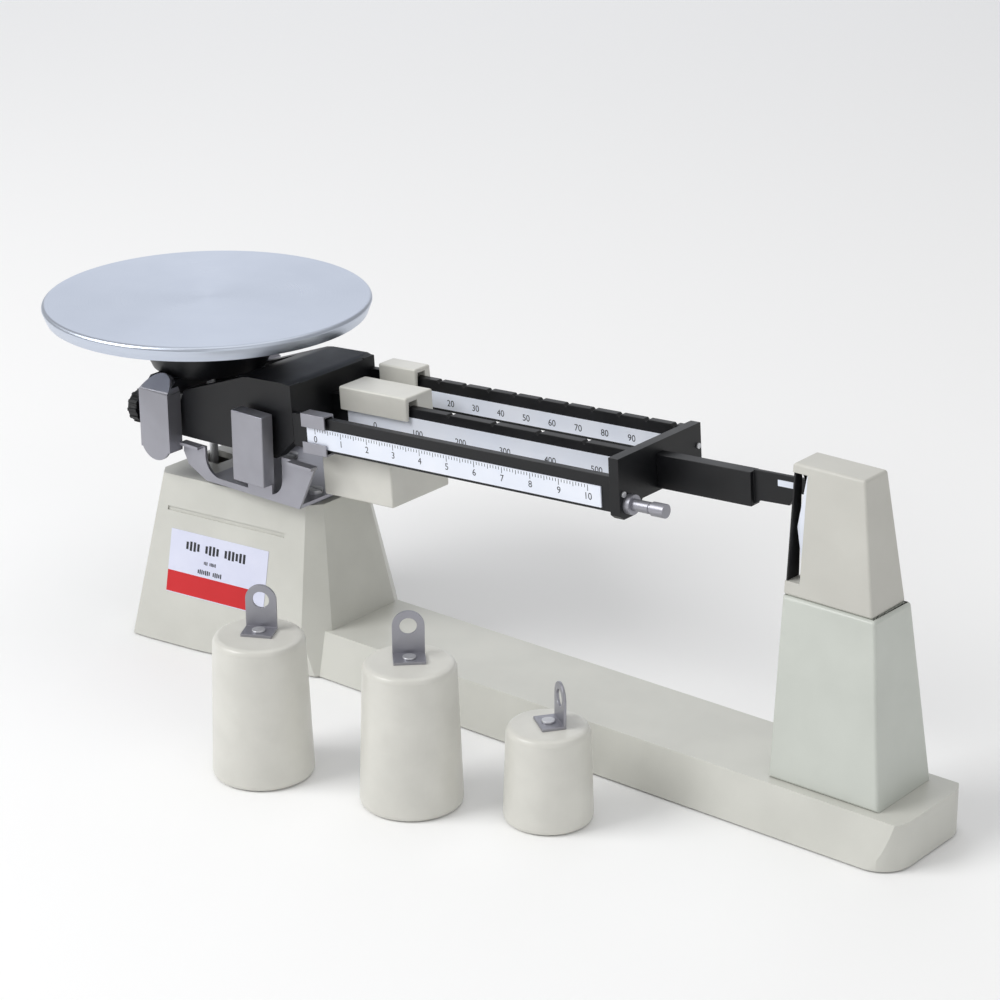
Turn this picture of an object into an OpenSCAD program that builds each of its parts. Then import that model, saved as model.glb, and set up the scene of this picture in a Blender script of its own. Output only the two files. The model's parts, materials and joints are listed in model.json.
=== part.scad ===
// Triple beam balance, drawn with the pan empty, every poise at zero and the beam on its upper stop.
// Frame: +X runs along the beam from the pan to the pointer, the operator's side is -Y, +Z is up.
// The origin is on the resting plane, straight below the main knife edge.

/* [Pan] */
// Outside diameter of the pan
pan_dia = 152; // [120:1:180]
// Height of the pan's top face above the resting plane
pan_top = 156.4; // [150:0.1:165]
// Depth of the pan's turned-down rim
rim_depth = 6.8; // [4:0.1:8]
// Thickness of the pan's sheet
pan_sheet = 1; // [0.8:0.1:1.4]

/* [Beam] */
// How far the pointer end is drawn above level, in degrees
beam_tilt = 3.7; // [-3.5:0.1:3.7]
// Height of the main knife edge
knife_height = 112; // [110:0.5:114]
// Distance from the main knife edge to the pan knife edge
pan_arm = 59; // [57:0.5:61]
// Half of the width across the front and rear beams
beam_half = 28; // [26:0.5:30]
// Thickness of each beam bar
bar_thick = 3.5; // [3:0.1:4]
// X of the beams' pointer end
beam_end = 197; // [190:1:200]
// Distance between ten-gram notches on the rear beam
rear_step = 14.41; // [14:0.01:14.6]
// Distance between hundred-gram notches on the middle beam
middle_step = 24.85; // [24:0.01:25]

/* [Base] */
// Height of the long base bar
bar_top = 21; // [18:0.5:24]
// Half of the base bar's width at the table
bar_half = 29.5; // [27:0.5:32]
// X of the base's pointer end
base_end = 337.5; // [332:0.5:345]
// Height of the pedestal's top
pedestal_top = 78; // [76:0.5:80]
// Wall thickness of the castings
wall = 3; // [2.5:0.1:4]

/* [Post] */
// X of the post's pan-side face
post_x = 271.4; // [270:0.1:274]
// Height of the seam between the two post blocks
post_seam = 99; // [96:0.5:102]
// Height of the post's top
post_top = 154; // [150:0.5:158]

/* [Weights] */
// Height of the two large attachment weights
weight_height = 63.4; // [60:0.1:66]
// Height of the small attachment weight
small_height = 41.9; // [38:0.1:45]

/* [Part] */
// Which part to draw

/* [Hidden] */
$fn = 64;
foot_gap = 0.8;
pan_x = -pan_arm * cos(beam_tilt);
pan_knife = knife_height - pan_arm * sin(beam_tilt);
link_z = 45;
rod_z = link_z - pan_arm * sin(beam_tilt);
face_turn = 6.84;
face_draft = 12.3;
cap_out = 37.5;
wall_out = 30.2;
cradle_z = pedestal_top + 2.5;
front_bar = [108, 123.3];
middle_bar = [111, 125.5];
rear_bar = [116, 130];
mid_gap = 2;
poise_x = 27.5;

// ---- helpers ----

// a box from its lowest corner to its highest corner
module box(a, b) { translate(a) cube([b[0] - a[0], b[1] - a[1], b[2] - a[2]]); }
// an outline in X and Z made solid between two values of Y
module along_y(y0, y1) { translate([0, y1, 0]) rotate([90, 0, 0]) linear_extrude(y1 - y0) children(); }
// an outline in Y and Z made solid between two values of X
module along_x(x0, x1) {
    translate([x0, 0, 0]) rotate([90, 0, 90]) linear_extrude(x1 - x0) children();
}
// a rod along X
module rod_x(x0, x1, y, z, r) { translate([x0, y, z]) rotate([0, 90, 0]) cylinder(h = x1 - x0, r = r); }
// a rod along Y
module rod_y(y0, y1, x, z, r) { translate([x, y1, z]) rotate([90, 0, 0]) cylinder(h = y1 - y0, r = r); }
// the same thing on both sides
module both_sides() { children(); mirror([0, 1, 0]) children(); }
// carries a level beam part to the beam's drawn tilt
module on_beam() {
    translate([0, 0, knife_height]) rotate([0, -beam_tilt, 0]) translate([0, 0, -knife_height]) children();
}
// carries a level check-link part to the same tilt
module on_link() {
    translate([0, 0, link_z]) rotate([0, -beam_tilt, 0]) translate([0, 0, -link_z]) children();
}
// the pedestal's sloping front face as a local frame: X along it, Z up it, Y into the casting
// a plane turned about Z, reaching out from the origin at the table and leaning back with height
module leaning(turn, reach, lean) {
    rotate([0, 0, turn]) translate([0, -reach, 0]) rotate([-lean, 0, 0]) children();
}
module on_face(depth = 0) { leaning(face_turn, 39.6 - depth, face_draft) children(); }

// ---- base ----

module pedestal_solid(t) {
    intersection() {
        along_y(-60, 60) polygon([[-89 + t, foot_gap - t], [-66.5 + 1.04 * t, pedestal_top - t],
            [24 - t, pedestal_top - t], [37 - t, foot_gap - t]]);
        both_faces(t);
        linear_extrude(100) polygon([[-95 + t, -28 + t], [-86 + t, -38 + t], [-70, -47.5 + t],
            [-45, -46 + t], [40, -29.5 + t], [40, 29.5 - t], [-45, 46 - t], [-70, 47.5 - t],
            [-86 + t, 38 - t], [-95 + t, 28 - t]]);
    }
}
module both_faces(t) {
    intersection() {
        one_face(t);
        mirror([0, 1, 0]) one_face(t);
    }
}
// the long face with the slanted flats that soften its two upright corners
module one_face(t) {
    intersection() {
        on_face(1.03 * t) box([-200, 0, -50], [200, 200, 200]);
        leaning(-50, 84 - 1.03 * t, 12.4) box([-200, 0, -50], [200, 200, 200]);
        leaning(50, 44 - 1.03 * t, 11.9) box([-200, 0, -50], [200, 200, 200]);
    }
}
module bar_solid(t) {
    r = 14 - t;
    intersection() {
        along_x(0, base_end - t) polygon([[-bar_half + t, foot_gap - t], [bar_half - t, foot_gap - t],
            [24 - t, bar_top - t], [-24 + t, bar_top - t]]);
        translate([0, 0, -5]) linear_extrude(60) union() {
            translate([0, -bar_half + t]) square([base_end - t - r, 2 * (bar_half - t)]);
            translate([0, -bar_half + t + r]) square([base_end - t, 2 * (bar_half - t - r)]);
            for (s = [-1, 1]) translate([base_end - t - r, s * (bar_half - t - r)]) circle(r);
        }
    }
}
module base_casting() {
    color([0.80, 0.80, 0.77]) difference() {
        union() {
            difference() {
                union() { pedestal_solid(0); bar_solid(0); }
                pedestal_solid(wall);
                bar_solid(wall);
            }
            intersection() {
                union() {
                    box([-9, -60, foot_gap], [9, 60, 16]);
                    box([120, -60, foot_gap], [124, 60, 30]);
                    box([200, -60, foot_gap], [204, 60, 30]);
                    both_sides() translate([-64, -26, foot_gap]) cylinder(h = 20, r = 9);
                    both_sides() box([-66, -60, foot_gap], [-62, -26, 20.8]);
                    for (x = [285, 312]) translate([x, 0, foot_gap]) cylinder(h = 30, r = 8);
                    box([285, -3, foot_gap], [312, 3, 12]);
                    translate([298.5, 0, foot_gap]) cylinder(h = 12, r = 11);
                    box([-7, -9, 60], [7, 9, pedestal_top]);
                }
                union() { pedestal_solid(0.5); bar_solid(0.5); }
            }
        }
        // the way through for the check rod
        box([pan_x - 4.6, -7, 60], [pan_x + 9, 7, 90]);
        // the check link's room
        box([-7.5, -3.4, 30], [7.5, 3.4, 70]);
        // the ledge line across the front face, and the label's seat
        on_face() box([-61, -1, 63], [6, 0.8, 65]);
        on_face() box([-57.5, -1, 25], [-1.5, 0.3, 55]);
        // seats for the feet
        both_sides() translate([-64, -26, 0]) cylinder(h = 2, r = 7);
        cylinder(h = 2, r = 8);
        translate([298.5, 0, 0]) cylinder(h = 2, r = 9);
        // holes for the post's screws and the bracket's screws
        for (x = [285, 312]) translate([x, 0, -1]) cylinder(h = 40, r = 2.2);
        for (x = [285, 312]) translate([x, 0, -1]) cylinder(h = 12, r = 4.2);
        for (x = [-22, 18]) both_sides() translate([x, -13, 60]) cylinder(h = 40, r = 1.7);
    }
}
module rubber_feet() {
    color([0.12, 0.12, 0.13]) {
        both_sides() translate([-64, -26, 0]) cylinder(h = 2, r = 7);
        cylinder(h = 2, r = 8);
        translate([298.5, 0, 0]) cylinder(h = 2, r = 9);
    }
}
module name_label() { color([0.80, 0.80, 0.90]) on_face() box([-57.5, -0.2, 25], [-1.5, 0.3, 55]); }

// the bright pressed cradle: two plates on the pedestal and a U-shaped wall at the front and the rear
module bearing_bracket() {
    color([0.75, 0.76, 0.78]) {
        difference() {
            union() {
                box([-30, -18, pedestal_top], [20.5, 18, cradle_z]);
                box([-34, -wall_out, cradle_z], [24, wall_out, cradle_z + 1.6]);
            }
            for (x = [-22, 18]) both_sides() translate([x, -13, 70]) cylinder(h = 20, r = 1.7);
        }
        both_sides() bracket_wall();
    }
}
module bracket_wall() {
    along_y(-wall_out, -wall_out + 1.4) difference() {
        polygon([[-34, cradle_z], [24, cradle_z], [34.5, 103], [14, 103], [14, 97], [-34, 95],
            [-34, 97], [-47.5, 97], [-48, 92], [-45, 86]]);
        difference() {
            union() {
                translate([-34 + 9, cradle_z + 2.8 + 9]) circle(9);
                translate([14 - 9, cradle_z + 2.8 + 9]) circle(9);
                translate([-34, cradle_z + 2.8 + 9]) square([48, 30]);
                translate([-34 + 9, cradle_z + 2.8]) square([30, 30]);
            }
            translate([-7.5, 60]) square([15, 49]);
        }
    }
    box([-47.5, -wall_out - 3, 95.6], [-36, -wall_out + 1.4, 97]);
    box([20, -wall_out - 3, 101.6], [34.5, -wall_out + 1.4, 103]);
}
module bracket_screws() {
    color([0.7, 0.7, 0.72]) for (x = [-22, 18]) both_sides() translate([x, -13, 0]) {
        translate([0, 0, 66]) cylinder(h = cradle_z + 1.6 - 66, r = 1.6);
        translate([0, 0, cradle_z + 1.6]) difference() {
            cylinder(h = 1.9, r = 3.6);
            box([-4, -0.5, 1.1], [4, 0.5, 3]);
        }
    }
}
module fulcrum_bearings() {
    color([0.86, 0.82, 0.76]) both_sides() along_y(-cap_out + 1.3, -wall_out) difference() {
        translate([-6.5, 97]) square([13, 18]);
        polygon([[0, knife_height - 0.35], [5, 117], [-5, 117]]);
    }
}
module fulcrum_caps() {
    color([0.80, 0.81, 0.83]) both_sides() difference() {
        box([-9.5, -cap_out, 89], [9.5, -wall_out, 122.4]);
        box([-8.3, -cap_out + 1.3, 88], [8.3, -30, 121.1]);
    }
}
module link_bracket() {
    color([0.72, 0.72, 0.70]) difference() {
        both_sides() box([-6.5, -9, 38], [6.5, -4, pedestal_top - wall - 15]);
        rod_y(-20, 20, 0, link_z, 2);
    }
}
module link_pin() { color([0.7, 0.7, 0.72]) rod_y(-8.6, 8.6, 0, link_z, 2); }

// ---- post ----

module post_block(z0, z1, x0, x1, h0, h1, t) {
    intersection() {
        along_y(-40, 40) polygon([[post_x + t, z0], [x0 - t, z0], [x1 - t, z1 - t], [post_x + t, z1 - t]]);
        along_x(200, 400) polygon([[-h0 + t, z0], [h0 - t, z0], [h1 - t, z1 - t], [-h1 + t, z1 - t]]);
    }
}
module post_lower() {
    color([0.72, 0.76, 0.73]) difference() {
        post_block(bar_top, post_seam, 324, 315, 19.8, 13.5, 0);
        difference() {
            intersection() {
                post_block(bar_top, post_seam + wall, 324, 315, 19.8, 13.5, wall);
                box([260, -30, bar_top + wall], [330, 30, post_seam + 1]);
            }
            for (x = [285, 312]) translate([x, 0, 0]) cylinder(h = 36, r = 6);
            box([280, -30, 86], [290, 30, post_seam]);
        }
        for (x = [285, 312]) translate([x, 0, 10]) cylinder(h = 22, r = 2.2);
        translate([285, 0, 80]) cylinder(h = 30, r = 1.7);
    }
}
module post_upper() {
    color([0.80, 0.80, 0.77]) difference() {
        post_block(post_seam, post_top, 313, 304.8, 12.3, 8.2, 0);
        box([post_x + 2.6, -6.2, 103], [300, 6.2, 150.5]);
        box([post_x - 1, -3.2, 103], [post_x + 4, 3.2, 150.5]);
        box([post_x - 1, -20, 105], [post_x + 7, 0, 150]);
        box([post_x + 6, -7.7, 104.4], [post_x + 9, -6, 150.4]);
        translate([285, 0, 90]) cylinder(h = 13.1, r = 1.7);
    }
}
module post_screws() {
    color([0.45, 0.45, 0.47]) {
        for (x = [285, 312]) translate([x, 0, 0]) {
            translate([0, 0, 9]) cylinder(h = 22, r = 2.2);
            translate([0, 0, 7]) cylinder(h = 4, r = 4.2);
        }
        translate([285, 0, 92]) cylinder(h = 10.9, r = 1.7);
    }
}
module zero_plate() {
    color([0.95, 0.95, 0.93]) along_y(-7.7, -6.9) polygon([[post_x + 9, 104.4], [post_x + 9, 150.4],
        [post_x + 6.4, 150.4], [post_x + 2.4, 127.2], [post_x + 6.4, 104.4]]);
}
module window_liner() {
    color([0.05, 0.05, 0.05]) {
        box([post_x + 2.6, 5.2, 103], [283, 6.2, 150.5]);
        intersection() {
            post_block(post_seam, post_top, 313, 304.8, 12.3, 8.2, 0.4);
            box([post_x, -20, 105], [post_x + 1.2, -3.3, 150]);
        }
    }
}
module magnet_yoke() {
    color([0.4, 0.4, 0.42]) difference() {
        box([283.2, -6.2, 115], [300, 6.2, 139]);
        box([280, -5.2, 110], [298.8, 5.2, 145]);
    }
}
module damping_magnets() {
    color([0.25, 0.24, 0.24]) both_sides() box([284.5, -5.2, 117], [298, -2.2, 137]);
}

// ---- beam ----

module beam_yoke() {
    color([0.06, 0.06, 0.06]) on_beam() difference() {
        union() {
            both_sides() along_y(-beam_half, -21) polygon([[-74, 104], [-68, 102], [-40, 101], [8, 100],
                [20, 110], [20, 135.5], [-9, 135.5], [-48, 123.5], [-50, 119], [-74, 118]]);
            along_y(-beam_half, beam_half) polygon([[-22, 124], [-9, 122], [20, 110], [20, 135], [16, 136.2],
                [-5, 136], [-9, 135.5], [-22, 131.5]]);
            box([-74, -22, 104], [-69.5, 22, 117]);
        }
        rod_y(-60, 60, -pan_arm, 109, 2.6);
        rod_x(-80, -60, -24.5, 110.5, 2);
    }
}
module bar_shape(z, x0) { translate([x0, z[0]]) square([beam_end - x0, z[1] - z[0]]); }
module front_beam() {
    color([0.06, 0.06, 0.06]) on_beam()
        along_y(-beam_half, -beam_half + bar_thick) bar_shape(front_bar, 20);
}
// a bar with a row of V notches in its top edge
module notched_bar(z, first, step, count) {
    difference() {
        bar_shape(z, 20);
        for (i = [0:count]) polygon([[first + i * step, z[1] - 1.3], [first + i * step + 1.3, z[1] + 0.1],
            [first + i * step - 1.3, z[1] + 0.1]]);
    }
}
module middle_beam() {
    color([0.06, 0.06, 0.06]) on_beam()
        along_y(-mid_gap, mid_gap) notched_bar(middle_bar, 39.3, middle_step, 5);
}
module rear_beam() {
    color([0.06, 0.06, 0.06]) on_beam() along_y(beam_half - bar_thick, beam_half)
        notched_bar(rear_bar, 32.3, rear_step, 11);
}
module scale_strip(y, z0, z1, x0, x1) {
    color([0.87, 0.90, 0.97]) on_beam() box([x0, y - 0.7, z0], [x1, y, z1]);
}
module front_scale() { scale_strip(-beam_half, 109.4, 118.5, 29, 192.5); }
module middle_scale() { scale_strip(-mid_gap, 112.4, 121.2, 30, beam_end); }
module rear_scale() { scale_strip(beam_half - bar_thick, 117.4, 124.8, 30, beam_end); }
module end_plate() {
    color([0.06, 0.06, 0.06]) on_beam() difference() {
        along_x(beam_end, beam_end + 5) polygon([[-28.5, 107], [-26, 105], [-18, 105], [-13, 110.5],
            [13, 110.5], [18, 105], [26, 105], [28.5, 107], [28.5, 131.6], [-28.5, 131.6]]);
        both_sides() rod_x(190, 210, -22.5, 111, 2.5);
    }
}
module pointer_arm() {
    color([0.06, 0.06, 0.06]) on_beam() {
        box([beam_end + 5, -3, 112], [249, 3, 126.6]);
        along_y(-0.9, 0.9) polygon([[249, 112.6], [252, 114.5], [266, 114.8], [269, 120.6], [281, 120.6],
            [281, 127.3], [249, 127.3]]);
    }
}
module pointer_mark() {
    color([0.95, 0.95, 0.95]) on_beam() box([261, -1.3, 122.4], [268.5, -0.9, 125]);
}
module damping_vane() {
    color([0.72, 0.45, 0.30]) on_beam() box([281, -0.6, 122.6], [296, 0.6, 127.3]);
}
module hook_pins() {
    color([0.8, 0.8, 0.82]) on_beam() both_sides() {
        rod_x(beam_end, 213, -22.5, 111, 2.5);
        rod_x(213, 214.4, -22.5, 111, 2.1);
        rod_x(214.4, 221, -22.5, 111, 3);
    }
}
module hook_washers() {
    color([0.75, 0.75, 0.77]) on_beam() both_sides() difference() {
        rod_x(beam_end + 5, beam_end + 8, -22.5, 111, 4.3);
        rod_x(190, 220, -22.5, 111, 2.5);
    }
}
module beam_rivets() {
    color([0.25, 0.25, 0.26]) on_beam() {
        rod_x(beam_end + 5, beam_end + 5.8, -26, 116, 1.3);
        rod_x(beam_end + 5, beam_end + 5.8, 8, 118, 1.3);
        rod_x(beam_end + 5, beam_end + 5.8, 26, 122, 1.3);
    }
}
module fulcrum_knife() {
    color([0.6, 0.62, 0.65]) on_beam() both_sides() along_y(-34.2, -beam_half)
        polygon([[0, knife_height], [3.2, 118], [-3.2, 118]]);
}
module pan_knives() {
    color([0.6, 0.62, 0.65]) on_beam() both_sides() {
        along_y(-34.2, -beam_half)
            polygon([[-pan_arm, knife_height], [-pan_arm + 3.2, 106], [-pan_arm - 3.2, 106]]);
        rod_y(-beam_half, -21, -pan_arm, 109, 2.6);
    }
}
module zero_screw() { color([0.6, 0.6, 0.6]) on_beam() rod_x(-88, -69.5, -24.5, 110.5, 2); }
module zero_knob() {
    color([0.08, 0.08, 0.08]) on_beam() difference() {
        union() {
            rod_x(-82, -76.5, -24.5, 110.5, 7.5);
            rod_x(-76.5, -75, -24.5, 110.5, 4.5);
            for (a = [0:30:330]) translate([0, -24.5, 110.5]) rotate([a, 0, 0])
                box([-82, -0.7, 6], [-76.5, 0.7, 8]);
        }
        rod_x(-90, -70, -24.5, 110.5, 2.06);
    }
}

// ---- pan carrier ----

module pan_support() {
    color([0.07, 0.07, 0.07]) translate([pan_x, 0, 0]) difference() {
        union() {
            translate([0, 0, 125]) cylinder(h = 25.2, r1 = 26.6, r2 = 38);
            translate([0, 0, 150.2]) cylinder(h = pan_top - pan_sheet - 0.3 - 150.2, r = 38);
            box([-8, -cap_out + 1.3, 119.5], [8, cap_out - 1.3, 125]);
        }
        translate([0, 0, 130]) cylinder(h = 30, r1 = 23, r2 = 36);
        translate([0, 0, 110]) cylinder(h = 30, r = 2);
    }
}
module pan_caps() {
    color([0.80, 0.81, 0.83]) translate([pan_x, 0, 0]) both_sides() difference() {
        intersection() {
            box([-9.3, -cap_out, 87], [9.3, -29.2, 127]);
            along_y(-60, 0) union() {
                translate([-9.3, 92]) square([18.6, 28]);
                translate([0, 117.7]) circle(9.3);
                translate([0, 96.3]) circle(9.3);
            }
        }
        box([-8, -cap_out + 1.3, 80], [8, -25, 119.5]);
        box([-8.1, -cap_out + 1.3, 119.4], [8.1, -25, 125.1]);
    }
}
module pan_bearings() {
    color([0.86, 0.82, 0.76]) translate([pan_x, 0, 0]) both_sides()
        along_y(-cap_out + 1.3, -30.4) difference() {
            translate([-6.5, pan_knife - 4]) square([13, 119.5 - pan_knife + 4]);
            polygon([[0, pan_knife + 0.35], [5.6, pan_knife - 5], [-5.6, pan_knife - 5]]);
        }
}
module check_rod() {
    color([0.62, 0.62, 0.64]) translate([pan_x, 0, 0]) {
        translate([0, 0, rod_z + 4]) cylinder(h = 134.5 - rod_z - 4, r = 2);
        difference() {
            box([-4, -1.6, rod_z - 4.5], [4, 1.6, rod_z + 4.5]);
            rod_y(-5, 5, 0, rod_z, 1.6);
        }
    }
}
module rod_nut() {
    color([0.7, 0.7, 0.72]) translate([pan_x, 0, 130]) difference() {
        cylinder(h = 3.4, r = 4.6, $fn = 6);
        translate([0, 0, -1]) cylinder(h = 6, r = 2);
    }
}
module weighing_pan() {
    color([0.80, 0.82, 0.86]) translate([pan_x, 0, 0]) rotate_extrude() polygon([[0, pan_top - pan_sheet],
        [pan_dia / 2 - 3, pan_top - pan_sheet], [pan_dia / 2 - pan_sheet - 0.9, pan_top - 2.6],
        [pan_dia / 2 - pan_sheet - 1.8, pan_top - rim_depth], [pan_dia / 2 - 1.8, pan_top - rim_depth],
        [pan_dia / 2, pan_top - 2.2], [pan_dia / 2 - 1.2, pan_top - 0.5], [pan_dia / 2 - 2.6, pan_top],
        [0, pan_top]]);
}
module check_link() {
    color([0.65, 0.65, 0.66]) on_link() difference() {
        union() {
            box([-50, -2.4, link_z - 2.5], [0, 2.4, link_z + 2.5]);
            rod_y(-2.9, 2.9, 0, link_z, 4.5);
            both_sides() box([-62.5, -4, link_z - 3.5], [-52, -2, link_z + 3.5]);
            box([-54, -4, link_z - 3.5], [-49, 4, link_z + 3.5]);
        }
        rod_y(-10, 10, 0, link_z, 2.05);
        rod_y(-10, 10, -pan_arm, link_z, 1.3);
    }
}
module link_end_pin() { color([0.7, 0.7, 0.72]) on_link() rod_y(-4.6, 4.6, -pan_arm, link_z, 1.3); }

// ---- poises ----

module front_poise() {
    y0 = -beam_half - 2;
    y1 = -beam_half + bar_thick + 0.9;
    color([0.78, 0.78, 0.80]) on_beam() along_x(27, 41) polygon([[y0, 118.6], [y0, 124.8], [y1, 124.8],
        [y1, 106.4], [y0, 106.4], [y0, 111.6], [y0 + 0.9, 111.6], [y0 + 0.9, 107.4], [y1 - 0.6, 107.4],
        [y1 - 0.6, 123.8], [y0 + 0.9, 123.8], [y0 + 0.9, 118.6]]);
}
module middle_poise() {
    color([0.78, 0.77, 0.74]) on_beam() difference() {
        union() {
            box([poise_x, -5, 120], [poise_x + 40, 13, 130.6]);
            box([poise_x + 2, 4, 100], [poise_x + 38, 13, 121]);
            box([poise_x, -19, 84], [poise_x + 41, 19, 104.5]);
        }
        box([0, -3.1, 107], [90, 2.4, 128.4]);
    }
}
module middle_pawl() {
    color([0.7, 0.7, 0.72]) on_beam() along_y(-1.8, 1.8) polygon([[poise_x + 9.4, 128.4],
        [poise_x + 14.2, 128.4], [poise_x + 11.9, 125.8], [poise_x + 11.7, 125.8]]);
}
module rear_poise() {
    y0 = beam_half - bar_thick;
    color([0.78, 0.77, 0.74]) on_beam() difference() {
        union() {
            box([poise_x + 0.5, y0 - 3, 125], [poise_x + 22.5, beam_half + 4, 134.3]);
            box([poise_x + 0.5, beam_half + 0.3, 108], [poise_x + 22.5, beam_half + 7, 127]);
        }
        box([0, y0 - 1.1, 90], [90, beam_half + 0.3, 132.3]);
    }
}
module rear_pawl() {
    y0 = beam_half - bar_thick;
    color([0.7, 0.7, 0.72]) on_beam() along_y(y0 + 0.3, beam_half - 0.3) polygon([[poise_x + 2.6, 132.3],
        [poise_x + 7, 132.3], [poise_x + 4.9, 130.3], [poise_x + 4.7, 130.3]]);
}

// ---- attachment weights ----

module weight_body(h, r_top, r_low, r_in, depth) {
    color([0.80, 0.79, 0.76]) difference() {
        rotate_extrude() polygon([[0, 0], [r_low - 2, 0], [r_low - 0.5, 0.8], [r_low, 2.6],
            [r_top + 0.1, h - 3], [r_top - 0.9, h - 0.8], [r_top - 3, h], [0, h]]);
        translate([0, 0, -1]) cylinder(h = depth + 1, r = r_in);
        translate([0, 0, h - 8]) cylinder(h = 10, r = 1.5);
    }
}
module hanger(h, wide, tall, eye) {
    color([0.78, 0.78, 0.80]) difference() {
        union() {
            box([-wide / 2, -8, h], [wide / 2, 2.2, h + 1.2]);
            box([-wide / 2, 1, h], [wide / 2, 2.2, h + tall - wide / 2]);
            rod_y(1, 2.2, 0, h + tall - wide / 2, wide / 2);
        }
        rod_y(-5, 5, 0, h + tall - wide / 2, eye);
        translate([0, -3.5, h - 1]) cylinder(h = 4, r = 1.5);
    }
}
module hanger_rivet(h) {
    color([0.7, 0.7, 0.72]) {
        translate([0, 0, h - 8]) cylinder(h = 9.2, r = 1.5);
        translate([0, 0, h + 1.2]) cylinder(h = 0.9, r = 2.8);
    }
}
module at_a() { translate([77.4, -113, 0]) rotate([0, 0, 28]) children(); }
module at_b() { translate([144.5, -94.4, 0]) rotate([0, 0, 44]) children(); }
module at_small() { translate([198.2, -70.8, 0]) rotate([0, 0, -35]) children(); }
module large_weight_a() { at_a() weight_body(weight_height, 19.5, 21.7, 16, 54); }
module large_weight_b() { at_b() weight_body(weight_height, 19.5, 21.7, 16, 54); }
module small_weight() { at_small() weight_body(small_height, 17.4, 18.7, 14, 34); }
module hanger_a() { at_a() translate([0, 3.5, 0]) hanger(weight_height, 13.4, 20, 3.6); }
module hanger_b() { at_b() translate([0, 3.5, 0]) hanger(weight_height, 13.4, 20, 3.6); }
module hanger_small() { at_small() translate([0, 3.5, 0]) hanger(small_height, 13.4, 18, 3.6); }
module rivet_a() { at_a() hanger_rivet(weight_height); }
module rivet_b() { at_b() hanger_rivet(weight_height); }
module rivet_small() { at_small() hanger_rivet(small_height); }

// ---- what is drawn ----

base_casting();
rubber_feet();
name_label();
bearing_bracket();
bracket_screws();
fulcrum_bearings();
fulcrum_caps();
link_bracket();
link_pin();
post_lower();
post_upper();
post_screws();
zero_plate();
window_liner();
magnet_yoke();
damping_magnets();
beam_yoke();
front_beam();
middle_beam();
rear_beam();
front_scale();
middle_scale();
rear_scale();
end_plate();
pointer_arm();
pointer_mark();
damping_vane();
hook_pins();
hook_washers();
beam_rivets();
fulcrum_knife();
pan_knives();
zero_screw();
zero_knob();
pan_support();
pan_caps();
pan_bearings();
check_rod();
rod_nut();
weighing_pan();
check_link();
link_end_pin();
front_poise();
middle_poise();
middle_pawl();
rear_poise();
rear_pawl();
large_weight_a();
large_weight_b();
small_weight();
hanger_a();
hanger_b();
hanger_small();
rivet_a();
rivet_b();
rivet_small();
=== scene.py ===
"""Triple beam balance: softened castings, spun pan, printed scales and enamelled weights on the CAD frame."""

import json
import math

import bmesh
import bpy
from mathutils import Matrix, Vector


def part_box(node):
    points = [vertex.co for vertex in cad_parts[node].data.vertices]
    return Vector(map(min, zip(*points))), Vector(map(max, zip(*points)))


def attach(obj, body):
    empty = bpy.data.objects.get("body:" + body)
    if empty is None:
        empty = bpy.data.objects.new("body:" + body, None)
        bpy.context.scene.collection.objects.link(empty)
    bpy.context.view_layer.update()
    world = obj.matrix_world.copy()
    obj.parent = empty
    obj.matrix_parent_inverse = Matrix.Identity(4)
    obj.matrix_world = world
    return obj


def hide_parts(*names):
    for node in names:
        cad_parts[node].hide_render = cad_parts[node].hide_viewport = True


bl_info = {
    "name": "Triple Beam Balance",
    "version": (1, 0, 0),
    "blender": (4, 5, 0),
    "location": "View3D > Sidebar > Balance",
    "description": "Builds a laboratory beam balance with its pan, poises and hanging weights",
    "category": "Add Mesh",
}

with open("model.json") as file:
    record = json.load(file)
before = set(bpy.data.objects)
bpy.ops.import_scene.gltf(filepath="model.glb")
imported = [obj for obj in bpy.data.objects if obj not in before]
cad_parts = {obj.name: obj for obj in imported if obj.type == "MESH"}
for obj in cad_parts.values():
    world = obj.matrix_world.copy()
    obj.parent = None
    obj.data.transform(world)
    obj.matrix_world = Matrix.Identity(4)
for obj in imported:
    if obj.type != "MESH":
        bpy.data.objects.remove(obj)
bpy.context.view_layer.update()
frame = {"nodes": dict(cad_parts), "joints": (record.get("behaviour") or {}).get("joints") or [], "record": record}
MM = 0.001


def joint(name):
    """The frame's joint of that name."""
    return next(j for j in frame["joints"] if j["name"] == name)


# The beam is drawn on its upper stop: this carries a level beam's part to that tilt.
PIVOT = Vector(joint("beam_swing")["pos_m"])
BEAM_AXIS = Vector(joint("middle_slide")["axis"])
TILT = math.atan2(BEAM_AXIS.z, BEAM_AXIS.x)
ON_BEAM = Matrix.Translation(PIVOT) @ Matrix.Rotation(-TILT, 4, "Y") @ Matrix.Translation(-PIVOT)
# The label lies on the pedestal's front face, which is turned and leans back.
LABEL_TURN = math.radians(6.84)
LABEL_LEAN = math.radians(12.3)
LABEL_REACH = 39.6 * MM
# The camera's azimuth, elevation and roll in degrees, and its place in mm.
CAMERA_ANGLES = (39.55, 21.28, -0.41)
CAMERA_PLACE = (871.4, -915.8, 560.4)
# Half the thickness of a printed mark, in mm.
INK = 0.02
# A text or mark drawn in X and Y stands up to face the operator.
FACING_OPERATOR = Matrix.Rotation(math.pi / 2, 4, "X")


# ---- materials ----


def linear(hex_colour):
    """An sRGB hex colour as linear red, green, blue and alpha."""
    parts = [int(hex_colour[i : i + 2], 16) / 255 for i in (1, 3, 5)]
    return [c / 12.92 if c <= 0.04045 else ((c + 0.055) / 1.055) ** 2.4 for c in parts] + [1.0]


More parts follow.
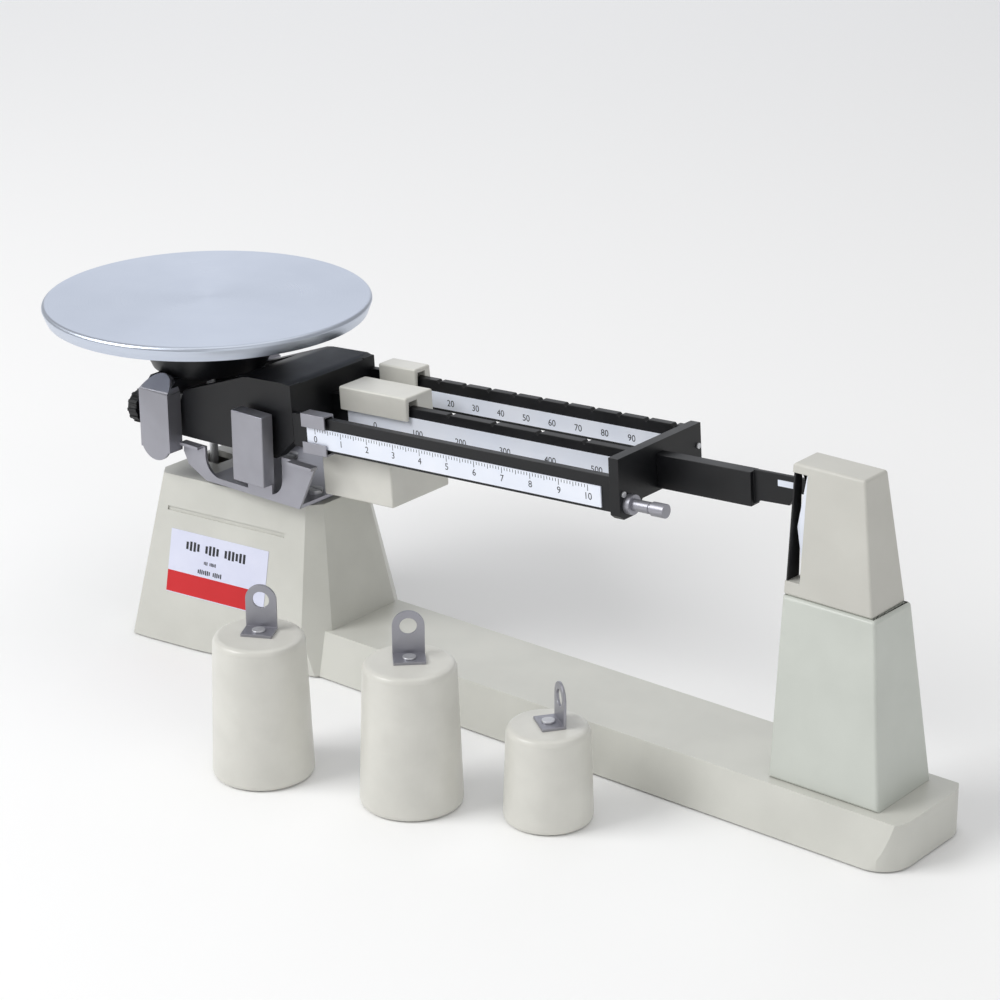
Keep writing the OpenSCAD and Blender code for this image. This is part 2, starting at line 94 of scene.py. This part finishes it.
def add_node(tree, kind, settings, feeds=()):
    """Adds a node, sets its properties or sockets, and links sockets to what feeds them."""
    made = tree.nodes.new(kind)
    for name, value in settings.items():
        if hasattr(made, name):
            setattr(made, name, value)
        else:
            made.inputs[name].default_value = value
    for socket, source in feeds:
        tree.links.new(source, made.inputs[socket])
    return made


def start_material(name, **shader):
    """An empty material with its shader's constant sockets set, and object coordinates to draw on."""
    made = bpy.data.materials.new(name)
    made.use_nodes = True
    tree = made.node_tree
    tree.nodes.clear()
    bsdf = add_node(tree, "ShaderNodeBsdfPrincipled", {})
    for socket, value in shader.items():
        bsdf.inputs[socket.replace("_", " ")].default_value = value
    add_node(tree, "ShaderNodeOutputMaterial", {}, [("Surface", bsdf.outputs["BSDF"])])
    place = add_node(tree, "ShaderNodeTexCoord", {})
    return made, tree, bsdf, place.outputs["Object"]


def speckle(tree, bsdf, where, colours, roughness, grain_mm, depth_mm, patch_mm=30, detail=3):
    """Colour that drifts over patches, roughness that drifts with it, and a fine raised grain."""
    patches = add_node(
        tree, "ShaderNodeTexNoise", {"Scale": 1 / (patch_mm * MM), "Detail": 4.0}, [("Vector", where)]
    )
    tint = add_node(tree, "ShaderNodeValToRGB", {}, [("Fac", patches.outputs["Fac"])])
    tint.color_ramp.elements[0].position = 0.35
    tint.color_ramp.elements[1].position = 0.65
    tint.color_ramp.elements[0].color = linear(colours[0])
    tint.color_ramp.elements[1].color = linear(colours[1])
    tree.links.new(tint.outputs["Color"], bsdf.inputs["Base Color"])
    sheen = add_node(
        tree,
        "ShaderNodeMapRange",
        {"From Min": 0.3, "From Max": 0.7, "To Min": roughness[0], "To Max": roughness[1]},
        [("Value", patches.outputs["Fac"])],
    )
    tree.links.new(sheen.outputs["Result"], bsdf.inputs["Roughness"])
    grain = add_node(
        tree, "ShaderNodeTexNoise", {"Scale": 1 / (grain_mm * MM), "Detail": detail}, [("Vector", where)]
    )
    bump = add_node(
        tree,
        "ShaderNodeBump",
        {"Strength": 0.5, "Distance": depth_mm * MM},
        [("Height", grain.outputs["Fac"])],
    )
    tree.links.new(bump.outputs["Normal"], bsdf.inputs["Normal"])


def cast_enamel():
    """Baked enamel on die-cast aluminium: the sprayed coat dries to a fine orange peel."""
    made, tree, bsdf, where = start_material("baked enamel on die-cast aluminium", Coat_Weight=0.15)
    speckle(tree, bsdf, where, ("#C7C7C0", "#CECEC7"), (0.38, 0.48), 1.1, 0.05)
    return made


def post_enamel():
    """The same enamel from a greener batch, on the lower post casting."""
    made, tree, bsdf, where = start_material("green-grey enamel on die-cast aluminium", Coat_Weight=0.15)
    speckle(tree, bsdf, where, ("#C2C6BF", "#C8CCC5"), (0.38, 0.48), 1.1, 0.05)
    return made


def moulded_abs():
    """Injection-moulded ABS cover: a spark-eroded mould leaves a fine even texture."""
    made, tree, bsdf, where = start_material("moulded ABS", Coat_Weight=0.05)
    speckle(tree, bsdf, where, ("#C2C1BA", "#C8C7C0"), (0.42, 0.5), 0.7, 0.04)
    return made


def weight_enamel():
    """Cream enamel on zinc die castings: thicker and glossier than the base's coat."""
    made, tree, bsdf, where = start_material(
        "cream enamel on die-cast zinc", Coat_Weight=0.3, Coat_Roughness=0.25
    )
    speckle(tree, bsdf, where, ("#CFCEC7", "#D6D5CE"), (0.32, 0.42), 1.6, 0.04, patch_mm=18)
    return made


def black_enamel():
    """Satin black enamel on castings and bars: a light crinkle breaks up its highlights."""
    made, tree, bsdf, where = start_material("satin black enamel", Specular_IOR_Level=0.4)
    speckle(tree, bsdf, where, ("#0B0C0F", "#131418"), (0.38, 0.5), 0.6, 0.03)
    return made


def black_nylon():
    """Moulded black nylon: dull, with a faint mould texture."""
    made, tree, bsdf, where = start_material("moulded black nylon")
    speckle(tree, bsdf, where, ("#101113", "#1A1B1D"), (0.5, 0.62), 0.5, 0.03)
    return made


def foot_rubber():
    """Moulded rubber: matte, slightly dusty."""
    made, tree, bsdf, where = start_material("moulded rubber")
    speckle(tree, bsdf, where, ("#1B1B1D", "#29292B"), (0.75, 0.9), 0.4, 0.04, patch_mm=6)
    return made


def chrome_plate():
    """Satin chrome plate on pressed steel, with the press tool's slow waviness under it."""
    made, tree, bsdf, where = start_material("satin chrome plate on pressed steel", Metallic=0.75)
    speckle(tree, bsdf, where, ("#98989F", "#A4A4AC"), (0.34, 0.42), 8, 0.015, patch_mm=25, detail=1)
    return made


def zinc_plate():
    """Zinc plate on turned steel: greyer than chrome, with fine turning and handling marks."""
    made, tree, bsdf, where = start_material("zinc plate on turned steel", Metallic=0.7)
    speckle(tree, bsdf, where, ("#C4C5C8", "#D0D1D4"), (0.3, 0.4), 0.4, 0.02, patch_mm=4)
    return made


def spun_stainless():
    """Spun and brushed stainless steel: rings left by the polishing belt as the pan turned."""
    made, tree, bsdf, where = start_material("spun stainless steel", Metallic=1.0, Anisotropic=0.5)
    low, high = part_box("weighing_pan")
    centre = add_node(
        tree,
        "ShaderNodeVectorMath",
        {"operation": "SUBTRACT"},
        [(0, where)],
    )
    centre.inputs[1].default_value = ((low.x + high.x) / 2, (low.y + high.y) / 2, 0)
    flat = add_node(
        tree, "ShaderNodeVectorMath", {"operation": "MULTIPLY"}, [(0, centre.outputs["Vector"])]
    )
    flat.inputs[1].default_value = (1, 1, 0)
    radius = add_node(tree, "ShaderNodeVectorMath", {"operation": "LENGTH"}, [(0, flat.outputs["Vector"])])
    # belt scratches are about 0.2 mm apart, drawn at 0.6 mm so that they show
    rings = add_node(
        tree,
        "ShaderNodeTexNoise",
        {"noise_dimensions": "1D", "Scale": 1.0, "Detail": 4.0},
        [],
    )
    pitch = add_node(
        tree, "ShaderNodeMath", {"operation": "MULTIPLY"}, [(0, radius.outputs["Value"])]
    )
    pitch.inputs[1].default_value = 1 / (0.6 * MM)
    tree.links.new(pitch.outputs["Value"], rings.inputs["W"])
    smears = add_node(
        tree, "ShaderNodeTexNoise", {"Scale": 1 / (22 * MM), "Detail": 3.0}, [("Vector", where)]
    )
    both = add_node(
        tree,
        "ShaderNodeMath",
        {"operation": "ADD"},
        [(0, rings.outputs["Fac"]), (1, smears.outputs["Fac"])],
    )
    tint = add_node(tree, "ShaderNodeValToRGB", {}, [("Fac", rings.outputs["Fac"])])
    tint.color_ramp.elements[0].color = linear("#C2CAD9")
    tint.color_ramp.elements[1].color = linear("#D3DAE6")
    tree.links.new(tint.outputs["Color"], bsdf.inputs["Base Color"])
    sheen = add_node(
        tree,
        "ShaderNodeMapRange",
        {"From Min": 0.6, "From Max": 1.4, "To Min": 0.27, "To Max": 0.4},
        [("Value", both.outputs["Value"])],
    )
    tree.links.new(sheen.outputs["Result"], bsdf.inputs["Roughness"])
    bump = add_node(
        tree,
        "ShaderNodeBump",
        {"Strength": 0.25, "Distance": 0.02 * MM},
        [("Height", rings.outputs["Fac"])],
    )
    tree.links.new(bump.outputs["Normal"], bsdf.inputs["Normal"])
    return made


def scale_paint():
    """White stove enamel on the aluminium scale strips: cool white and nearly smooth."""
    made, tree, bsdf, where = start_material("white enamelled aluminium strip", Coat_Weight=0.2)
    speckle(tree, bsdf, where, ("#E3E9F6", "#ECF0FA"), (0.3, 0.38), 0.8, 0.01)
    return made


def label_film():
    """Printed polyester film: smooth, pale lavender ground."""
    made, tree, bsdf, where = start_material("printed polyester film", Coat_Weight=0.4)
    speckle(tree, bsdf, where, ("#D3D6EB", "#DBDEF0"), (0.3, 0.36), 2.5, 0.01)
    return made


def red_ink():
    """Screen-printed red ink on the film."""
    made, tree, bsdf, where = start_material("screen-printed red ink", Coat_Weight=0.1)
    speckle(tree, bsdf, where, ("#C40A14", "#CC121C"), (0.32, 0.4), 0.3, 0.005)
    return made


def black_ink():
    """Screen-printed black ink: slightly uneven in density."""
    made, tree, bsdf, where = start_material("screen-printed black ink")
    speckle(tree, bsdf, where, ("#15171C", "#24272E"), (0.4, 0.5), 0.3, 0.005)
    return made


def agate():
    """Polished agate bearing: pale bands through a hard glossy stone."""
    made, tree, bsdf, where = start_material("polished agate", Coat_Weight=0.5)
    speckle(tree, bsdf, where, ("#CDBFA8", "#E4DACA"), (0.1, 0.18), 0.5, 0.005, patch_mm=3)
    return made


def copper_sheet():
    """Bare copper sheet: warm, a little tarnished."""
    made, tree, bsdf, where = start_material("copper sheet", Metallic=1.0)
    speckle(tree, bsdf, where, ("#A8643F", "#C27A50"), (0.25, 0.4), 0.6, 0.01, patch_mm=4)
    return made


def ferrite():
    """Sintered ferrite magnet: dark grey with a gritty pressed face."""
    made, tree, bsdf, where = start_material("sintered ferrite")
    speckle(tree, bsdf, where, ("#2E2D2D", "#3D3B3B"), (0.6, 0.75), 0.3, 0.03, patch_mm=3)
    return made


FINISHES = {
    "light_enamel": cast_enamel,
    "lower_post_enamel": post_enamel,
    "light_plastic": moulded_abs,
    "foot_rubber": foot_rubber,
    "label_film": label_film,
    "bright_steel": chrome_plate,
    "plain_steel": zinc_plate,
    "stainless_pan": spun_stainless,
    "bearing_stone": agate,
    "black_casting": black_enamel,
    "black_support": black_enamel,
    "black_plastic": black_nylon,
    "scale_plate": scale_paint,
    "white_mark": scale_paint,
    "copper_vane": copper_sheet,
    "magnet": ferrite,
    "poise_enamel": weight_enamel,
    "weight_enamel": weight_enamel,
    "red_ink": red_ink,
    "black_ink": black_ink,
}
made_finishes = {}


def finish(name):
    """The material of that finish, made the first time it is asked for."""
    make = FINISHES[name]
    if make not in made_finishes:
        made_finishes[make] = make()
    return made_finishes[make]


# ---- pieces ----


def slot_of(node):
    """The record's material slot of a CAD node."""
    return next(s["material_slot"] for s in frame["record"]["subparts"] if s["node"] == node)


def body_of(node):
    """The body that a CAD node belongs to."""
    groups = frame["record"]["behaviour"]["bodies"]
    return next(body for body, nodes in groups.items() if node in nodes)


def placed(name, bm, body, slot, coat=None, smooth=True):
    """Makes a finished piece from a bmesh: its place is in its mesh, and it rides on a body."""
    mesh = bpy.data.meshes.new(name)
    for face in bm.faces:
        face.smooth = smooth
    bm.to_mesh(mesh)
    bm.free()
    piece = bpy.data.objects.new(name, mesh)
    bpy.context.scene.collection.objects.link(piece)
    mesh.materials.append(finish(coat or slot))
    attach(piece, body)
    return piece


def even_shading(piece):
    """Keeps flat faces flat and lets only the rounded edges catch the light."""
    shade = piece.modifiers.new("even_shading", "WEIGHTED_NORMAL")
    shade.mode = "FACE_AREA"
    shade.weight = 50


def merged(node):
    """A CAD node's mesh as a bmesh, with its triangles joined and its flat faces made whole."""
    bm = bmesh.new()
    bm.from_mesh(frame["nodes"][node].data)
    bmesh.ops.remove_doubles(bm, verts=bm.verts, dist=0.002 * MM)
    bmesh.ops.dissolve_limit(bm, angle_limit=math.radians(0.5), verts=bm.verts, edges=bm.edges)
    return bm


def corner_angle(edge):
    """How sharply two faces meet at an edge: positive where the metal sticks out."""
    return edge.calc_face_angle_signed(0) if len(edge.link_faces) == 2 else 0


def round_edges(bm, edges, radius, segments=3):
    """Rounds the given edges."""
    if edges:
        bmesh.ops.bevel(
            bm,
            geom=edges,
            offset=radius,
            offset_type="OFFSET",
            affect="EDGES",
            segments=segments,
            profile=0.5,
            material=-1,
            clamp_overlap=True,
        )


def softened(
    node, small, large=0, long_edge=12 * MM, broad_face=300 * MM * MM, lowest=3 * MM, shape=None
):
    """A CAD node as cast: long outer edges get the large radius, and the rest break by the small one.

    A shape function, if given, changes the merged mesh before its edges are rounded.
    """
    bm = merged(node)
    if shape:
        shape(bm)
    if large:
        outer = [
            e
            for e in bm.edges
            if corner_angle(e) > math.radians(20)
            and e.calc_length() > long_edge
            and min(f.calc_area() for f in e.link_faces) > broad_face
            and max(v.co.z for v in e.verts) > lowest
        ]
        round_edges(bm, outer, large, segments=5)
    rest = [e for e in bm.edges if abs(corner_angle(e)) > math.radians(30)]
    round_edges(bm, rest, small, segments=2)
    piece = placed(node + "_body", bm, body_of(node), slot_of(node))
    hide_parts(node)
    even_shading(piece)
    return piece


def lean_hoods(bm):
    """Leans the outer skin of the pan's bearing caps inward above their crease, as the pressed hoods are."""
    crease = 120 * MM
    top = 128 * MM
    skin = 33 * MM
    slope = 1.1
    bmesh.ops.bisect_plane(
        bm,
        geom=bm.verts[:] + bm.edges[:] + bm.faces[:],
        plane_co=(0, 0, crease),
        plane_no=(0, 0, 1),
        dist=0.001 * MM,
    )
    for vert in bm.verts:
        if abs(vert.co.y) > skin and crease < vert.co.z < top:
            vert.co.y -= math.copysign((vert.co.z - crease) * slope, vert.co.y)


def spun(profile, centre, steps=96):
    """Turns an outline of (radius, height) about an upright axis, then sets it at its place."""
    bm = bmesh.new()
    verts = [bm.verts.new((r, 0, z)) for r, z in profile]
    edges = [bm.edges.new(pair) for pair in zip(verts, verts[1:])]
    bmesh.ops.spin(
        bm,
        geom=verts + edges,
        cent=(0, 0, 0),
        axis=(0, 0, 1),
        angle=2 * math.pi,
        steps=steps,
        use_merge=True,
    )
    bmesh.ops.remove_doubles(bm, verts=bm.verts, dist=0.005 * MM)
    bmesh.ops.recalc_face_normals(bm, faces=bm.faces)
    bmesh.ops.translate(bm, vec=centre, verts=bm.verts)
    return bm


def arc(centre_r, centre_z, radius, start, end, count=6):
    """Points round an arc of an outline, from one angle in degrees to another."""
    steps = [math.radians(start + (end - start) * i / count) for i in range(count + 1)]
    return [(centre_r + radius * math.cos(a), centre_z + radius * math.sin(a)) for a in steps]


# ---- sizes and colours that a user may change ----


class BalanceSizes(bpy.types.PropertyGroup):
    cast_radius: bpy.props.FloatProperty(
        name="Casting radius",
        description="Radius of the base casting's outer edges",
        default=4.0 * MM,
        unit="LENGTH",
    )
    post_radius: bpy.props.FloatProperty(
        name="Post radius", description="Radius of the post's edges", default=1.6 * MM, unit="LENGTH"
    )
    digit_height: bpy.props.FloatProperty(
        name="Digit height",
        description="Height of the numbers on the scales",
        default=4.2 * MM,
        unit="LENGTH",
    )
    tick_width: bpy.props.FloatProperty(
        name="Line width", description="Width of a scale line", default=0.28 * MM, unit="LENGTH"
    )
    rim_radius: bpy.props.FloatProperty(
        name="Rim radius", description="Radius of the pan's turned edge", default=2.0 * MM, unit="LENGTH"
    )


class BalanceStage(bpy.types.PropertyGroup):
    lens: bpy.props.FloatProperty(name="Lens", description="Camera's focal length in mm", default=106.0)
    floor_colour: bpy.props.StringProperty(
        name="Floor colour", description="The floor's sRGB hex colour", default="#FAFAFA"
    )


# ---- the operators ----


class BALANCE_OT_castings(bpy.types.Operator):
    """Rounds the edges of the base and post castings"""

    bl_idname = "balance.castings"
    bl_label = "Base and post"

    def execute(self, context):
        sizes = context.scene.balance_sizes
        softened("base_casting", 0.4 * MM, sizes.cast_radius)
        softened("post_lower", 0.4 * MM, sizes.post_radius)
        softened("post_upper", 0.3 * MM, sizes.post_radius * 0.8, broad_face=150 * MM * MM)
        for node in ("rubber_feet", "zero_plate", "window_liner", "magnet_yoke", "damping_magnets"):
            softened(node, 0.15 * MM)
        return {"FINISHED"}


class BALANCE_OT_bearings(bpy.types.Operator):
    """Breaks the edges of the pressed cradle, its caps, bearings and screws"""

    bl_idname = "balance.bearings"
    bl_label = "Bearings and check link"

    def execute(self, context):
        softened("pan_caps", 0.35 * MM, shape=lean_hoods)
        softened("bearing_bracket", 0.35 * MM)
        softened("fulcrum_caps", 0.6 * MM)
        for node in ("bracket_screws", "fulcrum_bearings", "pan_bearings", "link_bracket", "link_pin"):
            softened(node, 0.15 * MM)
        for node in ("check_link", "link_end_pin", "check_rod", "rod_nut", "post_screws"):
            softened(node, 0.15 * MM)
        return {"FINISHED"}


class BALANCE_OT_beam(bpy.types.Operator):
    """Breaks the edges of the yoke, the beams, the end plate and what is fixed to them"""

    bl_idname = "balance.beam"
    bl_label = "Beam"

    def execute(self, context):
        softened("beam_yoke", 0.8 * MM)
        softened("end_plate", 0.5 * MM)
        for node in ("front_beam", "middle_beam", "rear_beam", "pointer_arm"):
            softened(node, 0.25 * MM)
        for node in ("hook_pins", "hook_washers", "beam_rivets", "fulcrum_knife", "pan_knives"):
            softened(node, 0.12 * MM)
        for node in ("front_scale", "middle_scale", "rear_scale"):
            softened(node, 0.08 * MM)
        for node in ("damping_vane", "pointer_mark", "zero_screw"):
            softened(node, 0.08 * MM)
        softened("zero_knob", 0.3 * MM)
        return {"FINISHED"}


class BALANCE_OT_poises(bpy.types.Operator):
    """Breaks the edges of the sliding poises"""

    bl_idname = "balance.poises"
    bl_label = "Poises"

    def execute(self, context):
        softened("middle_poise", 0.5 * MM, 2.0 * MM, long_edge=8 * MM, broad_face=100 * MM * MM)
        softened("rear_poise", 0.5 * MM, 1.6 * MM, long_edge=6 * MM, broad_face=60 * MM * MM)
        softened("front_poise", 0.2 * MM)
        for node in ("middle_pawl", "rear_pawl"):
            softened(node, 0.15 * MM)
        return {"FINISHED"}


class BALANCE_OT_pan(bpy.types.Operator):
    """Spins the pan with its turned-down rim, and softens the support under it"""

    bl_idname = "balance.pan"
    bl_label = "Pan"

    def execute(self, context):
        low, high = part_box("weighing_pan")
        centre = Vector(((low.x + high.x) / 2, (low.y + high.y) / 2, 0))
        outer = (high.x - low.x) / 2
        bend = context.scene.balance_sizes.rim_radius
        sheet = 1.0 * MM
        rim_taper = 1.8 * MM
        outside = [(0, high.z), (outer * 0.5, high.z)]
        outside += arc(outer - bend, high.z - bend, bend, 90, 0, 8)
        outside += [(outer - rim_taper, low.z)]
        inside = [(outer - rim_taper - sheet, low.z)]
        inside += arc(outer - bend, high.z - bend, bend - sheet, 0, 90, 5)
        inside += [(0, high.z - sheet)]
        bm = spun(outside + inside, centre, steps=160)
        pan = placed("pan_sheet", bm, "pan", "stainless_pan")
        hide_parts("weighing_pan")
        even_shading(pan)
        softened("pan_support", 0.6 * MM, shape=lean_hoods)
        return {"FINISHED"}


class BALANCE_OT_weights(bpy.types.Operator):
    """Softens the hanging weights, their hangers and rivets"""

    bl_idname = "balance.weights"
    bl_label = "Hanging weights"

    def execute(self, context):
        for node in ("large_weight_a", "large_weight_b", "small_weight"):
            softened(node, 0.5 * MM)
        for node in ("hanger_a", "hanger_b", "hanger_small", "rivet_a", "rivet_b", "rivet_small"):
            softened(node, 0.2 * MM)
        return {"FINISHED"}


def printed_text(words, size, where):
    """Numbers printed on a plate: a text's outline, raised by the ink's thickness."""
    curve = bpy.data.curves.new(words, "FONT")
    curve.body = words
    curve.size = size
    curve.align_x = "CENTER"
    curve.align_y = "CENTER"
    curve.extrude = INK * MM
    text = bpy.data.objects.new(words, curve)
    bpy.context.scene.collection.objects.link(text)
    bpy.context.view_layer.update()
    mesh = bpy.data.meshes.new_from_object(text.evaluated_get(bpy.context.evaluated_depsgraph_get()))
    bpy.data.objects.remove(text)
    bm = bmesh.new()
    bm.from_mesh(mesh)
    bpy.data.meshes.remove(mesh)
    bmesh.ops.transform(bm, matrix=Matrix.Translation(where) @ FACING_OPERATOR, verts=bm.verts)
    return bm


def bars(bm, boxes, place):
    """Adds thin printed bars, each given as its centre and its size, to a mesh."""
    for centre, size in boxes:
        made = bmesh.ops.create_cube(bm, size=1)["verts"]
        bmesh.ops.scale(bm, vec=size, verts=made)
        bmesh.ops.translate(bm, vec=centre, verts=made)
        bmesh.ops.transform(bm, matrix=place, verts=made)


def joined(meshes):
    """Several bmeshes as one."""
    whole = bmesh.new()
    for part in meshes:
        mesh = bpy.data.meshes.new("part")
        part.to_mesh(mesh)
        part.free()
        whole.from_mesh(mesh)
        bpy.data.meshes.remove(mesh)
    return whole


class BALANCE_OT_scales(bpy.types.Operator):
    """Prints the lines and numbers on the three scales"""

    bl_idname = "balance.scales"
    bl_label = "Scales"

    def execute(self, context):
        sizes = context.scene.balance_sizes
        # name, outer face Y, the numbers' height, the strip's top, first number's X, step, words, divisions
        rows = (
            ("front", -28.7, 113.2, 118.5, 34.0, 15.19, [str(n) for n in range(10)] + ["10"], 10),
            ("middle", -2.7, 114.3, 121.2, 46.1, 24.85, [str(n * 100) for n in range(6)], 0),
            ("rear", 23.8, 120.5, 124.8, 39.3, 14.41, [str(n * 10) for n in range(11)], 0),
        )
        for name, y, level, high, first, step, words, fine in rows:
            parts = []
            for i, word in enumerate(words):
                at = Vector((first + i * step, y - INK, level)) * MM
                parts.append(printed_text(word, sizes.digit_height, at))
            lines = bmesh.new()
            for i in range((len(words) - 1) * fine + 1 if fine else 0):
                tall = 2.6 if i % 10 == 0 else 1.9 if i % 5 == 0 else 1.3
                x = first + i * step / fine
                centre = Vector((x, y - INK, high - tall / 2 - 0.3)) * MM
                size = (sizes.tick_width, 2 * INK * MM, tall * MM)
                bars(lines, [(centre, size)], Matrix.Identity(4))
            whole = joined(parts + [lines])
            bmesh.ops.transform(whole, matrix=ON_BEAM, verts=whole.verts)
            placed(name + "_scale_print", whole, "beam", "white_mark", coat="black_ink", smooth=False)
        return {"FINISHED"}


class BALANCE_OT_label(bpy.types.Operator):
    """Prints a plain generic pattern on the base's label"""

    bl_idname = "balance.label"
    bl_label = "Label"

    def execute(self, context):
        softened("name_label", 0.06 * MM)
        face = (
            Matrix.Rotation(LABEL_TURN, 4, "Z")
            @ Matrix.Translation(Vector((0, -LABEL_REACH, 0)))
            @ Matrix.Rotation(-LABEL_LEAN, 4, "X")
        )
        front = -0.22
        red = bmesh.new()
        bars(red, [(Vector((-33, front, 30.4)) * MM, Vector((49, 2 * INK, 10)) * MM)], face)
        placed("label_band", red, "base", "label_film", coat="red_ink", smooth=False)
        black = bmesh.new()
        # each row's height, stroke height, first stroke's X, and how many strokes each group has
        rows = ((48.6, 4.4, -47.5, (4, 4, 6)), (42.2, 1.6, -37, (3, 5)), (37.8, 2.2, -40, (7, 5)))
        for z, tall, first, groups in rows:
            x = first
            for count in groups:
                for i in range(count):
                    high = tall * (1.0 if i % 3 else 0.8)
                    size = Vector((tall * 0.3, 2 * INK, high)) * MM
                    bars(black, [(Vector((x, front, z)) * MM, size)], face)
                    x += tall * 0.48
                x += tall * 0.6
        placed("label_marks", black, "base", "label_film", coat="black_ink", smooth=False)
        return {"FINISHED"}


def soft_light(name, place, aim, size, power, tint):
    """A square studio light that points at a place."""
    data = bpy.data.lights.new(name, "AREA")
    data.shape = "SQUARE"
    data.size = size
    data.energy = power
    data.color = linear(tint)[:3]
    lamp = bpy.data.objects.new(name, data)
    bpy.context.scene.collection.objects.link(lamp)
    lamp.location = place
    lamp.rotation_euler = (Vector(aim) - Vector(place)).to_track_quat("-Z", "Y").to_euler()


class BALANCE_OT_stage(bpy.types.Operator):
    """Sets out the floor, the lights and the camera"""

    bl_idname = "balance.stage"
    bl_label = "Stage"

    def execute(self, context):
        stage = context.scene.balance_stage
        bm = bmesh.new()
        bmesh.ops.create_grid(bm, x_segments=1, y_segments=1, size=20)
        mesh = bpy.data.meshes.new("floor")
        bm.to_mesh(mesh)
        bm.free()
        floor = bpy.data.objects.new("floor", mesh)
        context.scene.collection.objects.link(floor)
        made, _, bsdf, _ = start_material("plain pale floor", Roughness=0.9)
        bsdf.inputs["Base Color"].default_value = linear(stage.floor_colour)
        mesh.materials.append(made)
        middle = (0.1, 0, 0.08)
        soft_light("key", (-0.9, -1.4, 1.5), middle, 1.2, 30, "#FFFFFF")
        soft_light("fill", (1.6, -0.7, 0.9), middle, 1.4, 4, "#FFFFFF")
        soft_light("top", (0.1, 0.3, 2.0), middle, 1.8, 7, "#FFFFFF")
        soft_light("back", (-1.3, 1.6, 0.9), middle, 2.0, 7, "#F2F6FF")
        world = bpy.data.worlds.new("studio")
        world.use_nodes = True
        world.node_tree.nodes["Background"].inputs["Color"].default_value = linear("#FFFFFF")
        world.node_tree.nodes["Background"].inputs["Strength"].default_value = 0.43
        context.scene.world = world
        context.scene.view_settings.view_transform = "Standard"
        data = bpy.data.cameras.new("camera")
        data.lens = stage.lens
        data.sensor_width = 36
        camera = bpy.data.objects.new("camera", data)
        context.scene.collection.objects.link(camera)
        azimuth, elevation, roll = (math.radians(a) for a in CAMERA_ANGLES)
        level = math.cos(elevation)
        back = Vector((math.sin(azimuth) * level, -math.cos(azimuth) * level, math.sin(elevation)))
        right = Vector((math.cos(azimuth), math.sin(azimuth), 0))
        above = back.cross(right)
        turn = Matrix((right, above, back)).transposed() @ Matrix.Rotation(roll, 3, "Z")
        camera.matrix_world = Matrix.Translation(Vector(CAMERA_PLACE) * MM) @ turn.to_4x4()
        data.clip_start = 0.01
        data.clip_end = 100
        context.scene.camera = camera
        return {"FINISHED"}


class BALANCE_PT_panel(bpy.types.Panel):
    """Lists the balance's parts in the sidebar"""

    bl_label = "Balance"
    bl_idname = "BALANCE_PT_panel"
    bl_space_type = "VIEW_3D"
    bl_region_type = "UI"
    bl_category = "Balance"

    def draw(self, context):
        for group in (context.scene.balance_sizes, context.scene.balance_stage):
            for name in group.__annotations__:
                self.layout.prop(group, name)
        for operator in OPERATORS:
            self.layout.operator(operator.bl_idname)


OPERATORS = (
    BALANCE_OT_castings,
    BALANCE_OT_bearings,
    BALANCE_OT_beam,
    BALANCE_OT_poises,
    BALANCE_OT_pan,
    BALANCE_OT_weights,
    BALANCE_OT_scales,
    BALANCE_OT_label,
    BALANCE_OT_stage,
)
CLASSES = (BalanceSizes, BalanceStage) + OPERATORS + (BALANCE_PT_panel,)


def register():
    """Registers the classes and hangs the sizes on the scene."""
    for made in CLASSES:
        bpy.utils.register_class(made)
    bpy.types.Scene.balance_sizes = bpy.props.PointerProperty(type=BalanceSizes)
    bpy.types.Scene.balance_stage = bpy.props.PointerProperty(type=BalanceStage)


def unregister():
    """Takes the sizes off the scene and unregisters the classes."""
    del bpy.types.Scene.balance_stage
    del bpy.types.Scene.balance_sizes
    for made in reversed(CLASSES):
        bpy.utils.unregister_class(made)


def main():
    register()
    for operator in OPERATORS:
        space, name = operator.bl_idname.split(".")
        getattr(getattr(bpy.ops, space), name)()


if __name__ == "__main__":
    main()
